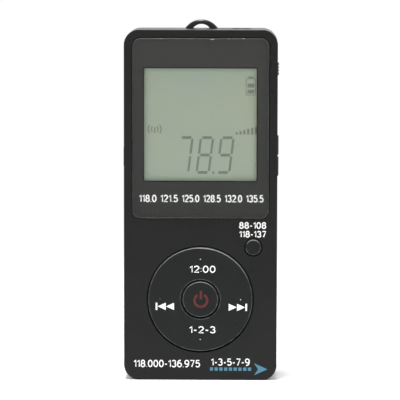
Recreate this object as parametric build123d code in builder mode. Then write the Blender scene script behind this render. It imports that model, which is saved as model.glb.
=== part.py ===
from build123d import *
import os

os.makedirs("parts", exist_ok=True)

# Pocket airband receiver.  Millimetres, +Z up along its length, front face towards -Y,
# origin on the ground under the middle of the body.  "depth" is measured from the front
# face of the front case towards the back.

# ---- overall size ---------------------------------------------------------------------
body_width = 44.0
body_height = 100.9
body_depth = 18.0
corner_radius = 4.4
front_edge_radius = 0.3
back_edge_radius = 2.2
side_wall = 1.5
front_wall = 1.6
back_wall = 1.5
parting_depth = 9.6
seam_step = 0.3            # shadow line where the two shells meet
running_gap = 0.1
soldered_gap = 0.05

# ---- display --------------------------------------------------------------------------
lens_width = 38.95
lens_height = 51.48
lens_radius = 2.3
lens_centre_z = 72.68
lens_proud = 0.35
lens_thickness = 1.2
lens_edge_radius = 0.3
lens_gap = 0.28
tape_thickness = 0.15
tape_width = 2.4
tape_inset = 0.2
tape_window_margin = 0.4
window_width = 34.0
window_height = 34.0
window_centre_z = 73.75
window_radius = 0.6
glass_side_margin = 0.5
glass_top_margin = 1.3
glass_bottom_margin = 2.0
glass_thickness = 0.55
glass_ledge = 2.6
polariser_thickness = 0.2
polariser_margin = 0.3
gasket_width = 1.5
gasket_thickness = 0.2
gasket_side_margin = 0.6
gasket_radius = 0.8
gasket_window_margin = 0.2
front_film_drop = 1.5
holder_wall = 1.2
holder_fit = 0.1
holder_radius = 1.0
guide_inset = 1.2
lamp_width = 3.2
lamp_reach = 1.1
lamp_gap = 0.1
rubber_width = 30.0
rubber_thickness = 1.9
rubber_inset = 0.3

# ---- circuit board --------------------------------------------------------------------
board_depth = 4.4
board_thickness = 1.0
board_side_gap = 0.8
board_end_gap = 1.7
board_top_gap = 1.6
board_radius = 1.5
board_notch_gap = 0.4
board_screw_radius = 0.8
pad_thickness = 0.05
pad_radius = 2.0

# ---- four way ring and round keys -----------------------------------------------------
ring_centre_z = 23.45
ring_radius = 15.05
ring_gap = 0.42
ring_inner_radius = 5.6
ring_proud = 0.15
ring_plate = 1.3
ring_skirt = 1.1
ring_flange = 1.2
ring_flange_front = 2.25
ring_back = 2.8
ring_post_radius = 10.3      # from the middle of the ring to its posts
ring_dot_radius = 11.6       # from the middle of the ring to its dots
ring_dot_height = 0.14
ring_dot_size = 0.24
key_edge_radius = 0.4
power_proud = 0.2
power_flange = 1.85
power_flange_front = 2.0
power_flange_back = 2.7
band_x = 15.15
band_z = 38.55
band_radius = 2.3
band_hole_gap = 0.36
band_flange = 0.8
band_proud = 0.25
band_flange_front = 1.9
band_flange_back = 2.5
key_stroke_gap = 0.32      # from a carbon pill to its copper pad
post_radius = 1.6
pill_radius = 1.3
pill_thickness = 0.25
mat_front = 3.6
mat_width = 37.0
mat_bottom_z = 8.4
mat_top_z = 42.0
mat_radius = 2.0
mat_hole_gap = 0.7

# ---- keys and slider in the side walls ------------------------------------------------
side_key_height = 5.6
side_key_thickness = 2.4
side_key_proud = 0.35
side_key_radius = 0.25
volume_up_z = 67.5
volume_down_z = 61.5
light_key_z = 64.1
side_flange = 0.6
side_flange_gap = 0.1
side_flange_trim = 0.1
flange_front_lip = 0.3
flange_back_lip = 0.7
plunger_reach = 1.2
switch_length = 5.2
switch_height = 3.2
switch_width = 3.6
switch_inset = 1.9         # from the inner wall to the mouth of a switch
switch_bore_depth = 2.2
plunger_size = 1.3
plunger_bore_gap = 0.08
lock_centre_z = 89.5
lock_length = 3.6
lock_travel = 1.6
lock_switch_length = 6.4
lock_groove = 0.2
lock_groove_width = 0.4
lock_groove_pitch = 0.9
lock_groove_count = 3
lock_stem_width = 1.2
lock_stem_thickness = 1.0
lock_slot_depth = 1.6
lock_slot_gap = 0.2
lock_slot_side_gap = 0.1

# ---- battery bay ----------------------------------------------------------------------
cell_diameter = 10.4
cell_length = 44.5
cell_gap = 0.3
cell_side_gap = 0.45
cell_rim_radius = 0.5
cap_radius = 1.9
cap_height = 0.9
bay_wall = 1.3
bay_board_gap = 0.2
bay_floor = 0.6
bay_bottom_z = 3.0
contact_strip = 0.3
contact_dimple = 0.3
contact_dimple_radius = 1.5
contact_width = 7.6
spring_length = 3.6
spring_wire = 0.25
spring_foot_radius = 2.9
spring_turns = 3
spring_taper = 15
door_thickness = 1.2
door_side_margin = 2.2
door_top_margin = 2.0
door_ledge = 1.0
door_ledge_rim = 2.3
door_hinge_z = 3.4
door_end_radius = 0.8      # from the hinge pins to the outer face and the lower end
door_pin_radius = 0.35
door_pin_length = 1.4
door_pin_gap = 0.05
door_notch_radius = 5.0
door_notch_drop = 2.6
door_notch_depth = 0.9
door_rib_count = 5
door_rib_pitch = 1.5
door_rib_groove = 0.3
door_rib_width = 0.7
door_rib_length = 9.0
door_grip_drop = 9.0        # from the top of the door to its lowest groove
detent_height = 0.08
detent_radius = 0.6
detent_inset = 2.0
detent_drop = 2.5
detent_side_gap = 0.2
detent_dimple = 0.3

# ---- lanyard loop, socket, aerial, chips, screws --------------------------------------
loop_radius = 5.7
loop_rise = 2.55
loop_hole_radius = 2.96
loop_hole_rise = 1.3
loop_thickness = 2.4
loop_root = 0.5            # how deep the eye's feet reach into the top wall
loop_chamfer = 0.35
socket_x = 11.5
socket_bore_radius = 1.8
socket_bore_depth = 13.0
socket_width = 6.2
socket_length = 12.4
socket_body_depth = 5.2
socket_nose_radius = 2.55
collar_wall = 0.35
collar_proud = 0.1
rod_radius = 2.5
rod_length = 33.0
rod_z = 81.0
rod_depth = 12.0
coil_radius = 3.4
coil_length = 13.0
saddle_width = 3.0
case_screw_side = 4.8      # from the side of the body
case_screw_low_z = 5.4
case_screw_drop = 4.9      # from the top of the body
boss_radius = 2.3
screw_radius = 1.0
screw_head_radius = 1.75
screw_head_height = 1.3
screw_recess_radius = 2.0
screw_seat_depth = 14.2
screw_tip_depth = 4.0
screw_tip_room = 0.3
screw_fit = 0.02
screw_tip_chamfer = 0.4
screw_head_edge = 0.4
screw_cross = 2.1
board_screw_x = 16.6
board_screw_low_z = 47.4
board_screw_drop = 5.1
board_boss_radius = 1.7
board_boss_floor = 0.4
board_screw_head_radius = 1.4
board_screw_head_height = 0.9
board_screw_head_edge = 0.3
board_screw_cross = 1.7
cross_width = 0.45
cross_depth = 0.7

# ---- sizes that follow from the ones above --------------------------------------------
front_y = -body_depth / 2
inner_half_width = body_width / 2 - side_wall
switch_mouth_x = inner_half_width - switch_inset
case_screw_x = body_width / 2 - case_screw_side
case_screw_high_z = body_height - case_screw_drop
board_screw_high_z = body_height - board_screw_drop
lens_back = lens_thickness - lens_proud
recess_floor = lens_back + tape_thickness
lens_bottom_z = lens_centre_z - lens_height / 2
lens_top_z = lens_centre_z + lens_height / 2
window_bottom_z = window_centre_z - window_height / 2
window_top_z = window_centre_z + window_height / 2
glass_width = window_width + 2 * glass_side_margin
glass_bottom_z = window_bottom_z - glass_bottom_margin
glass_top_z = window_top_z + glass_top_margin
gasket_back = front_wall + gasket_thickness
glass_front = gasket_back + polariser_thickness
glass_middle = glass_front + glass_thickness
glass_back = glass_middle + glass_thickness
rear_film_back = glass_back + polariser_thickness
rear_glass_bottom_z = glass_bottom_z + glass_ledge
board_back = board_depth + board_thickness
side_key_depth = board_back + switch_height / 2
socket_y = front_y + board_back + socket_body_depth / 2
pill_back = board_depth - pad_thickness - key_stroke_gap
ring_hole_radius = ring_radius + ring_gap
power_radius = ring_inner_radius - ring_gap
cell_pitch = cell_diameter + cell_gap
bay_half_width = cell_pitch / 2 + cell_diameter / 2 + cell_side_gap
bay_top_z = bay_bottom_z + 2 * contact_strip + spring_length + cell_length + contact_dimple
door_inner_depth = body_depth - door_thickness
cell_depth = door_inner_depth - running_gap - cell_diameter / 2
bay_floor_back = cell_depth - cell_diameter / 2 - running_gap
bay_wall_front = board_back + bay_board_gap
door_half_width = bay_half_width + door_side_margin
door_top_z = bay_top_z + door_top_margin
door_hinge_depth = body_depth - door_end_radius
door_swing_radius = (door_end_radius ** 2 + (door_hinge_depth - door_inner_depth) ** 2) ** 0.5
door_swing_radius += running_gap
detent_points = [(side * (door_half_width - detent_inset), door_top_z - detent_drop)
                 for side in (-1, 1)]
key_points = [(0, ring_post_radius), (ring_post_radius, 0),
              (0, -ring_post_radius), (-ring_post_radius, 0)]
pad_points = [(x, ring_centre_z + z) for x, z in key_points]
pad_points += [(0, ring_centre_z), (band_x, band_z)]
case_screw_points = [(-case_screw_x, case_screw_low_z), (case_screw_x, case_screw_low_z),
                     (-case_screw_x, case_screw_high_z), (case_screw_x, case_screw_high_z)]
board_screw_points = [(-board_screw_x, board_screw_low_z), (board_screw_x, board_screw_low_z),
                      (0, board_screw_high_z)]


def at_depth(depth):
    """Upright plane looking out of the front: local X is +X, local Y is +Z."""
    return Plane(origin=(0, front_y + depth, 0), x_dir=(1, 0, 0), z_dir=(0, -1, 0))


def save(builder, name):
    builder.part.label = name
    export_step(builder.part, "parts/" + name + ".step")


def plate(front, back, width, bottom, top, radius=0.0, x=0.0, mode=Mode.ADD):
    """A slab between two depths, with rounded corners if a radius is given."""
    with BuildSketch(at_depth(back)) as outline:
        with Locations((x, (bottom + top) / 2)):
            if radius > 0:
                RectangleRounded(width, top - bottom, radius)
            else:
                Rectangle(width, top - bottom)
    extrude(outline.sketch, amount=back - front, mode=mode)


def pegs(front, back, radius, points, mode=Mode.ADD):
    """Round pegs or holes between two depths at (x, z) points."""
    with BuildSketch(at_depth(back)) as outline:
        with Locations(*points):
            Circle(radius)
    extrude(outline.sketch, amount=back - front, mode=mode)


def block(x_low, x_high, front, back, bottom, top, mode=Mode.ADD):
    """A square-cornered block given by its two x, depth and z limits."""
    centre = ((x_low + x_high) / 2, front_y + (front + back) / 2, (bottom + top) / 2)
    with Locations(centre):
        Box(x_high - x_low, back - front, top - bottom, mode=mode)


def outer_form(front, back, mode=Mode.ADD):
    """The closed outline of the whole body between two depths, edges still sharp."""
    plate(front, back, body_width, 0, body_height, corner_radius, mode=mode)


def edges_at(builder, depth):
    return builder.edges().filter_by_position(Axis.Y, front_y + depth - 0.001,
                                              front_y + depth + 0.001)


# ---- shells ---------------------------------------------------------------------------
def make_front_case():
    with BuildPart() as front_case:
        outer_form(0, parting_depth)
        fillet(edges_at(front_case, 0), front_edge_radius)
        plate(front_wall, parting_depth, body_width - 2 * side_wall, side_wall,
              body_height - side_wall, corner_radius - side_wall, mode=Mode.SUBTRACT)
        # shallow recess for the lens, then the window through its floor
        plate(0, recess_floor, lens_width + 2 * lens_gap, lens_bottom_z - lens_gap,
              lens_top_z + lens_gap, lens_radius + lens_gap, mode=Mode.SUBTRACT)
        plate(recess_floor, front_wall, window_width, window_bottom_z, window_top_z,
              window_radius, mode=Mode.SUBTRACT)
        # holes for the ring and the round key
        pegs(0, front_wall, ring_hole_radius, [(0, ring_centre_z)], mode=Mode.SUBTRACT)
        pegs(0, front_wall, band_radius + band_hole_gap, [(band_x, band_z)], mode=Mode.SUBTRACT)
        # bosses for the case screws and the board screws
        pegs(front_wall, parting_depth, boss_radius, case_screw_points)
        pegs(screw_tip_depth - screw_tip_room, parting_depth, screw_radius, case_screw_points,
             mode=Mode.SUBTRACT)
        pegs(front_wall, board_depth, board_boss_radius, board_screw_points)
        pegs(front_wall + board_boss_floor, board_depth, board_screw_radius, board_screw_points,
             mode=Mode.SUBTRACT)
        # windows in the side walls
        for side, centre_z, length in side_windows():
            x_low, x_high = sorted((side * (inner_half_width - 1), side * (body_width / 2 + 1)))
            half = side_key_thickness / 2 + running_gap
            block(x_low, x_high, side_key_depth - half, side_key_depth + half,
                  centre_z - length / 2, centre_z + length / 2, mode=Mode.SUBTRACT)
        # half of the hole for the earphone socket lies in this shell
        socket_hole()
        # shadow line around the joint with the rear case
        seam_cut(parting_depth - seam_step / 2, parting_depth)
    save(front_case, "front_case")


def side_windows():
    key_window = side_key_height + 2 * running_gap
    lock_middle = lock_centre_z + lock_travel / 2
    return [(1, volume_up_z, key_window), (1, volume_down_z, key_window),
            (-1, light_key_z, key_window),
            (1, lock_middle, lock_length + lock_travel + 4 * running_gap)]


def socket_hole():
    with BuildSketch(Plane.XY.offset(body_height + 1)) as mouth:
        with Locations((socket_x, socket_y)):
            Circle(socket_nose_radius + collar_wall + running_gap)
    extrude(mouth.sketch, amount=-(side_wall + 1.5), mode=Mode.SUBTRACT)


def seam_cut(front, back):
    with BuildSketch(at_depth(back)) as line:
        with Locations((0, body_height / 2)):
            RectangleRounded(body_width + 2, body_height + 2, corner_radius + 1)
            RectangleRounded(body_width - 2 * seam_step, body_height - 2 * seam_step,
                             corner_radius - seam_step, mode=Mode.SUBTRACT)
    extrude(line.sketch, amount=back - front, mode=Mode.SUBTRACT)


def make_rear_case():
    bay_outer = bay_half_width + bay_wall
    ledge_half = door_half_width + door_ledge_rim
    ledge_front = door_inner_depth - running_gap - door_ledge
    with BuildPart() as rear_case:
        outer_form(parting_depth, body_depth)
        fillet(edges_at(rear_case, body_depth), back_edge_radius)
        plate(parting_depth, body_depth - back_wall, body_width - 2 * side_wall, side_wall,
              body_height - side_wall, corner_radius - side_wall, mode=Mode.SUBTRACT)
        # battery bay: floor and four walls, hanging forward of the parting line
        block(-bay_outer, bay_outer, bay_wall_front, body_depth - back_wall,
              side_wall + running_gap, bay_top_z + bay_wall)
        # a cell that is thinner than the room behind the board has its floor further back
        block(-bay_half_width, bay_half_width, board_back, bay_floor_back - bay_floor,
              bay_bottom_z, bay_top_z, mode=Mode.SUBTRACT)
        # broad ledges that carry the edges of the door
        block(-ledge_half, ledge_half, ledge_front, body_depth - back_wall, side_wall - 0.3,
              door_top_z + door_ledge_rim)
        block(-bay_half_width, bay_half_width, bay_floor_back, body_depth,
              bay_bottom_z, bay_top_z, mode=Mode.SUBTRACT)
        # opening for the door, the holes for its hinge pins and the notch for a fingertip
        block(-door_half_width - running_gap, door_half_width + running_gap,
              door_inner_depth - running_gap, body_depth + 1,
              door_hinge_z - door_end_radius - running_gap,
              door_top_z + running_gap, mode=Mode.SUBTRACT)
        hinge_pins(door_pin_radius + door_pin_gap, door_pin_length + 2 * running_gap,
                   mode=Mode.SUBTRACT)
        # hollow in which the inner corner of the door turns
        with Locations(Pos(0, front_y + door_hinge_depth, door_hinge_z) * Rot(0, 90, 0)):
            Cylinder(door_swing_radius, 2 * (door_half_width + running_gap), mode=Mode.SUBTRACT)
        pegs(body_depth - door_notch_depth, body_depth + 1, door_notch_radius,
             [(0, door_top_z - door_notch_drop)], mode=Mode.SUBTRACT)
        # dimples where the door clicks shut
        pegs(body_depth - back_wall - detent_dimple, door_inner_depth,
             detent_radius + detent_side_gap, detent_points, mode=Mode.SUBTRACT)
        # screw bosses, clearance holes and head recesses
        pegs(parting_depth, body_depth - back_wall, boss_radius, case_screw_points)
        pegs(parting_depth, body_depth, screw_radius + running_gap, case_screw_points,
             mode=Mode.SUBTRACT)
        pegs(screw_seat_depth, body_depth + 1, screw_recess_radius, case_screw_points,
             mode=Mode.SUBTRACT)
        # lanyard loop moulded on the top edge just behind the parting line
        loop_centre_z = body_height + loop_rise - loop_radius
        hole_centre_z = body_height + loop_hole_rise - loop_hole_radius
        with BuildSketch(at_depth(parting_depth + seam_step + loop_thickness)) as loop:
            with Locations((0, loop_centre_z)):
                Circle(loop_radius)
            with Locations((0, hole_centre_z)):
                Circle(loop_hole_radius, mode=Mode.SUBTRACT)
            with Locations((0, body_height - loop_radius - loop_root)):
                Rectangle(4 * loop_radius, 2 * loop_radius, mode=Mode.SUBTRACT)
        extrude(loop.sketch, amount=loop_thickness)
        rim = rear_case.edges().filter_by(GeomType.CIRCLE).group_by(Axis.Z)[-1]
        chamfer(rim, loop_chamfer)
        socket_hole()
        seam_cut(parting_depth, parting_depth + seam_step / 2)
    save(rear_case, "rear_case")


def hinge_pins(radius, reach, mode=Mode.ADD):
    """Round pins or holes along X that reach out of both sides of the door."""
    for side in (-1, 1):
        x_middle = side * (door_half_width + (reach - running_gap) / 2)
        with Locations(Pos(x_middle, front_y + door_hinge_depth, door_hinge_z) * Rot(0, 90, 0)):
            Cylinder(radius, reach + running_gap, mode=mode)


def make_battery_door():
    with BuildPart() as battery_door:
        block(-door_half_width, door_half_width, door_inner_depth, body_depth,
              door_hinge_z - door_end_radius, door_top_z)
        # the outer bottom edge is rounded about the hinge pins
        bottom_edge = battery_door.edges().filter_by(Axis.X).group_by(Axis.Z)[0]
        fillet(bottom_edge.sort_by(Axis.Y)[-1], door_end_radius)
        hinge_pins(door_pin_radius, door_pin_length)
        # grooves for the thumb
        for index in range(door_rib_count):
            z = door_top_z - door_grip_drop + index * door_rib_pitch
            block(-door_rib_length / 2, door_rib_length / 2, body_depth - door_rib_groove,
                  body_depth + 1, z - door_rib_width / 2, z + door_rib_width / 2,
                  mode=Mode.SUBTRACT)
        # detent bumps, lower than the running gap of the door
        pegs(door_inner_depth - detent_height, door_inner_depth, detent_radius, detent_points)
    save(battery_door, "battery_door")


# ---- display stack --------------------------------------------------------------------
def make_display():
    with BuildPart() as display_lens:
        plate(-lens_proud, lens_back, lens_width, lens_bottom_z, lens_top_z, lens_radius)
        fillet(edges_at(display_lens, -lens_proud), lens_edge_radius)
    save(display_lens, "display_lens")

    with BuildPart() as lens_tape:
        plate(lens_back, recess_floor, lens_width - 2 * tape_inset, lens_bottom_z + tape_inset,
              lens_top_z - tape_inset, lens_radius)
        plate(lens_back, recess_floor, lens_width - 2 * tape_width,
              window_bottom_z - tape_window_margin, window_top_z + tape_window_margin,
              lens_radius, mode=Mode.SUBTRACT)
    save(lens_tape, "lens_tape")

    with BuildPart() as dust_gasket:
        plate(front_wall, gasket_back, window_width + 2 * (gasket_width + gasket_side_margin),
              window_bottom_z - gasket_width, window_top_z + gasket_width, gasket_radius)
        plate(front_wall, gasket_back, window_width + 2 * gasket_window_margin,
              window_bottom_z - gasket_window_margin, window_top_z + gasket_window_margin,
              window_radius, mode=Mode.SUBTRACT)
    save(dust_gasket, "dust_gasket")

    film_width = glass_width - 2 * polariser_margin
    with BuildPart() as front_polariser:
        plate(gasket_back, glass_front, film_width, rear_glass_bottom_z - front_film_drop,
              glass_top_z - polariser_margin)
    save(front_polariser, "front_polariser")

    with BuildPart() as front_glass:
        plate(glass_front, glass_middle, glass_width, glass_bottom_z, glass_top_z)
    save(front_glass, "front_glass")

    with BuildPart() as rear_glass:
        plate(glass_middle, glass_back, glass_width, rear_glass_bottom_z, glass_top_z)
    save(rear_glass, "rear_glass")

    with BuildPart() as rear_polariser:
        plate(glass_back, rear_film_back, film_width, rear_glass_bottom_z + polariser_margin,
              glass_top_z - polariser_margin)
    save(rear_polariser, "rear_polariser")

    guide_half = glass_width / 2 - guide_inset
    pocket_half = lamp_width / 2 + 2 * lamp_gap
    lamp_x = guide_half - lamp_reach + 3 * lamp_gap
    with BuildPart() as light_guide:
        block(-guide_half, guide_half, rear_film_back, board_depth,
              rear_glass_bottom_z + polariser_margin, glass_top_z - polariser_margin)
        # pocket in one edge for the lamp
        block(lamp_x - lamp_gap, guide_half + 1, rear_film_back, board_depth,
              window_centre_z - pocket_half, window_centre_z + pocket_half, mode=Mode.SUBTRACT)
    save(light_guide, "light_guide")

    with BuildPart() as backlight_lamp:
        block(lamp_x, lamp_x + lamp_reach, rear_film_back + lamp_gap, board_depth,
              window_centre_z - lamp_width / 2, window_centre_z + lamp_width / 2)
    save(backlight_lamp, "backlight_lamp")

    rubber_bottom_z = glass_bottom_z + rubber_inset
    rubber_top_z = rubber_bottom_z + rubber_thickness
    with BuildPart() as contact_rubber:
        block(-rubber_width / 2, rubber_width / 2, glass_middle, board_depth,
              rubber_bottom_z, rubber_top_z)
    save(contact_rubber, "contact_rubber")

    inner_width = glass_width + 2 * holder_fit
    outer_width = inner_width + 2 * holder_wall
    with BuildPart() as display_holder:
        plate(gasket_back, board_depth, outer_width, glass_bottom_z - holder_fit
              - holder_wall, glass_top_z + holder_fit + holder_wall, holder_radius)
        plate(gasket_back, board_depth, inner_width, glass_bottom_z - holder_fit,
              glass_top_z + holder_fit, mode=Mode.SUBTRACT)
        # ledge between the rubber strip and the light guide
        block(-inner_width / 2, inner_width / 2, glass_back + soldered_gap, board_depth,
              rubber_top_z + soldered_gap, rear_glass_bottom_z + polariser_margin - soldered_gap)
    save(display_holder, "display_holder")


# ---- circuit board and what is soldered to it -----------------------------------------
def make_board():
    with BuildPart() as main_board:
        plate(board_depth, board_back, 2 * (inner_half_width - board_side_gap),
              side_wall + board_end_gap, body_height - side_wall - board_top_gap, board_radius)
        # corners cut away around the bosses of the case
        for x, z in case_screw_points:
            pegs(board_depth, board_back, boss_radius + board_notch_gap, [(x, z)],
                 mode=Mode.SUBTRACT)
            x_low, x_high = sorted((x, inner_half_width if x > 0 else -inner_half_width))
            low, high = sorted((z, body_height if z > body_height / 2 else 0))
            block(x_low, x_high, board_depth, board_back, low, high, mode=Mode.SUBTRACT)
        pegs(board_depth, board_back, board_screw_radius + 0.1, board_screw_points,
             mode=Mode.SUBTRACT)
    save(main_board, "main_board")

    with BuildPart() as copper_pads:
        pegs(board_depth - pad_thickness, board_depth, pad_radius, pad_points)
    save(copper_pads, "copper_pads")

    with BuildPart() as key_mat:
        plate(mat_front, board_depth - pad_thickness, mat_width, mat_bottom_z, mat_top_z,
              mat_radius)
        pegs(mat_front, board_depth, post_radius + mat_hole_gap, pad_points,
             mode=Mode.SUBTRACT)
    save(key_mat, "key_mat")

    chips = {"tuner_chip": (-9.5, 69.0, 9.0, 7.5, 1.6), "control_chip": (4.0, 66.0, 10.0, 10.0, 1.5),
             "audio_chip": (4.5, 92.0, 4.9, 6.0, 1.5), "power_coil": (-14.5, 58.5, 5.0, 5.0, 3.0)}
    for name, (x, z, width, height, rise) in chips.items():
        with BuildPart() as chip:
            block(x - width / 2, x + width / 2, board_back, board_back + rise,
                  z - height / 2, z + height / 2)
            chamfer(edges_at(chip, board_back + rise), 0.2)
        save(chip, name)

    with BuildPart() as crystal:
        with BuildSketch(at_depth(board_back)) as can:
            with Locations((-3.5, 75.4)):
                SlotOverall(7.6, 3.2)
        extrude(can.sketch, amount=-2.4)
        fillet(edges_at(crystal, board_back + 2.4), 0.4)
    save(crystal, "crystal")

    with BuildPart() as capacitors:
        pegs(board_back, board_back + 5.4, 2.5, [(-4.5, 92.2), (-10.6, 92.2)])
        fillet(edges_at(capacitors, board_back + 5.4), 0.4)
    save(capacitors, "capacitors")


def make_socket():
    top = body_height - side_wall - running_gap
    with BuildPart() as earphone_socket:
        block(socket_x - socket_width / 2, socket_x + socket_width / 2, board_back,
              board_back + socket_body_depth, top - socket_length, top)
        with BuildSketch(Plane.XY.offset(body_height)) as nose:
            with Locations((socket_x, socket_y)):
                Circle(socket_nose_radius)
        extrude(nose.sketch, amount=-(side_wall + 0.5))
        with BuildSketch(Plane.XY.offset(body_height)) as bore:
            with Locations((socket_x, socket_y)):
                Circle(socket_bore_radius)
        extrude(bore.sketch, amount=-socket_bore_depth, mode=Mode.SUBTRACT)
    save(earphone_socket, "earphone_socket")

    # metal collar that lines the hole in the top wall
    with BuildPart() as socket_collar:
        with BuildSketch(Plane.XY.offset(body_height + collar_proud)) as collar:
            with Locations((socket_x, socket_y)):
                Circle(socket_nose_radius + collar_wall)
                Circle(socket_nose_radius, mode=Mode.SUBTRACT)
        extrude(collar.sketch, amount=-(side_wall + collar_proud))
        chamfer(socket_collar.edges().group_by(Axis.Z)[-1], collar_proud)
    save(socket_collar, "socket_collar")


def make_aerial():
    with BuildPart() as ferrite_rod:
        with Locations((0, front_y + rod_depth, rod_z)):
            Cylinder(rod_radius, rod_length, rotation=(0, 90, 0))
    save(ferrite_rod, "ferrite_rod")

    with BuildPart() as aerial_coil:
        with Locations((0, front_y + rod_depth, rod_z)):
            Cylinder(coil_radius, coil_length, rotation=(0, 90, 0))
            Cylinder(rod_radius, coil_length, rotation=(0, 90, 0), mode=Mode.SUBTRACT)
    save(aerial_coil, "aerial_coil")

    saddle_x = rod_length / 2 - saddle_width / 2 - 1.5
    with BuildPart() as rod_saddles:
        for x in (-saddle_x, saddle_x):
            block(x - saddle_width / 2, x + saddle_width / 2, board_back, rod_depth,
                  rod_z - rod_radius - 1.2, rod_z + rod_radius + 1.2)
        with Locations((0, front_y + rod_depth, rod_z)):
            Cylinder(rod_radius, rod_length + 1, rotation=(0, 90, 0), mode=Mode.SUBTRACT)
    save(rod_saddles, "rod_saddles")


# ---- front keys -----------------------------------------------------------------------
def make_ring():
    centre = [(0, ring_centre_z)]
    with BuildPart() as nav_ring:
        pegs(-ring_proud, ring_back, ring_radius, centre)
        fillet(edges_at(nav_ring, -ring_proud), key_edge_radius)
        pegs(ring_flange_front, ring_back, ring_radius + ring_flange, centre)
        pegs(ring_plate, ring_back, ring_radius - ring_skirt, centre, mode=Mode.SUBTRACT)
        # four bosses that push the posts, then the hole for the round key
        bosses = [(x, ring_centre_z + z) for x, z in key_points]
        pegs(ring_plate, ring_back, post_radius, [bosses[1], bosses[3]])
        pegs(ring_plate, ring_back - running_gap, post_radius, [bosses[0], bosses[2]])
        pegs(-1, ring_back, ring_inner_radius, centre, mode=Mode.SUBTRACT)
        inner_rim = edges_at(nav_ring, -ring_proud).filter_by(GeomType.CIRCLE).sort_by(SortBy.RADIUS)[0]
        fillet(inner_rim, key_edge_radius)
        # raised touch dots
        dot_sphere = (ring_dot_size ** 2 + ring_dot_height ** 2) / (2 * ring_dot_height)
        for x, z in [(0, 1), (1, 0), (0, -1), (-1, 0)]:
            with BuildPart(mode=Mode.PRIVATE) as dot:
                with Locations((x * ring_dot_radius, front_y - ring_proud - ring_dot_height
                                + dot_sphere, ring_centre_z + z * ring_dot_radius)):
                    Sphere(dot_sphere)
            add(dot.part)
    save(nav_ring, "nav_ring")

    side_posts = [pad_points[1], pad_points[3]]
    upright_posts = [pad_points[0], pad_points[2]]
    make_posts("side_posts", "side_pills", ring_back, side_posts)
    make_posts("upright_posts", "upright_pills", ring_back, upright_posts)


def make_posts(post_name, pill_name, front, points):
    with BuildPart() as posts:
        pegs(front, pill_back - pill_thickness, post_radius, points)
    save(posts, post_name)
    with BuildPart() as pills:
        pegs(pill_back - pill_thickness, pill_back, pill_radius, points)
    save(pills, pill_name)


def make_round_key(name, points, radius, proud, flange_radius, flange_front, flange_back):
    with BuildPart() as key:
        pegs(-proud, flange_back, radius, points)
        fillet(edges_at(key, -proud), key_edge_radius)
        pegs(flange_front, flange_back, flange_radius, points)
    save(key, name)


def make_round_keys():
    make_round_key("power_button", [pad_points[4]], power_radius, power_proud,
                   power_radius + power_flange, power_flange_front, power_flange_back)
    make_posts("power_post", "power_pill", power_flange_back, [pad_points[4]])
    make_round_key("band_button", [pad_points[5]], band_radius, band_proud,
                   band_radius + band_flange, band_flange_front, band_flange_back)
    make_posts("band_post", "band_pill", band_flange_back, [pad_points[5]])


# ---- side keys ------------------------------------------------------------------------
def make_side_key(name, side, centre_z):
    face_x = body_width / 2 + side_key_proud
    flange_outer = inner_half_width - side_flange_gap
    with BuildPart() as key:
        x_low, x_high = sorted((side * (flange_outer - side_flange), side * face_x))
        block(x_low, x_high, side_key_depth - side_key_thickness / 2,
              side_key_depth + side_key_thickness / 2,
              centre_z - side_key_height / 2, centre_z + side_key_height / 2)
        outer = key.faces().sort_by(Axis.X)[-1 if side > 0 else 0].edges()
        fillet(outer, side_key_radius)
        x_low, x_high = sorted((side * (flange_outer - side_flange), side * flange_outer))
        block(x_low, x_high, side_key_depth - side_key_thickness / 2 - flange_front_lip,
              side_key_depth + side_key_thickness / 2 + flange_back_lip,
              centre_z - side_key_height / 2 + side_flange_trim,
              centre_z + side_key_height / 2 - side_flange_trim)
    save(key, name)

    with BuildPart() as plunger:
        tip = flange_outer - side_flange
        x_low, x_high = sorted((side * (switch_mouth_x - plunger_reach), side * tip))
        block(x_low, x_high, side_key_depth - plunger_size / 2, side_key_depth + plunger_size / 2,
              centre_z - plunger_size / 2, centre_z + plunger_size / 2)
    save(plunger, name.replace("key", "plunger"))


def make_side_keys():
    make_side_key("volume_up_key", 1, volume_up_z)
    make_side_key("volume_down_key", 1, volume_down_z)
    make_side_key("light_key", -1, light_key_z)

    bore = plunger_size / 2 + plunger_bore_gap
    with BuildPart() as key_switches:
        for side, z in ((1, volume_up_z), (1, volume_down_z), (-1, light_key_z)):
            x_low, x_high = sorted((side * (switch_mouth_x - switch_width), side * switch_mouth_x))
            block(x_low, x_high, board_back, board_back + switch_height,
                  z - switch_length / 2, z + switch_length / 2)
            x_low, x_high = sorted((side * (switch_mouth_x - switch_bore_depth),
                                    side * (switch_mouth_x + 1)))
            block(x_low, x_high, side_key_depth - bore, side_key_depth + bore,
                  z - bore, z + bore, mode=Mode.SUBTRACT)
    save(key_switches, "key_switches")


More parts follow.
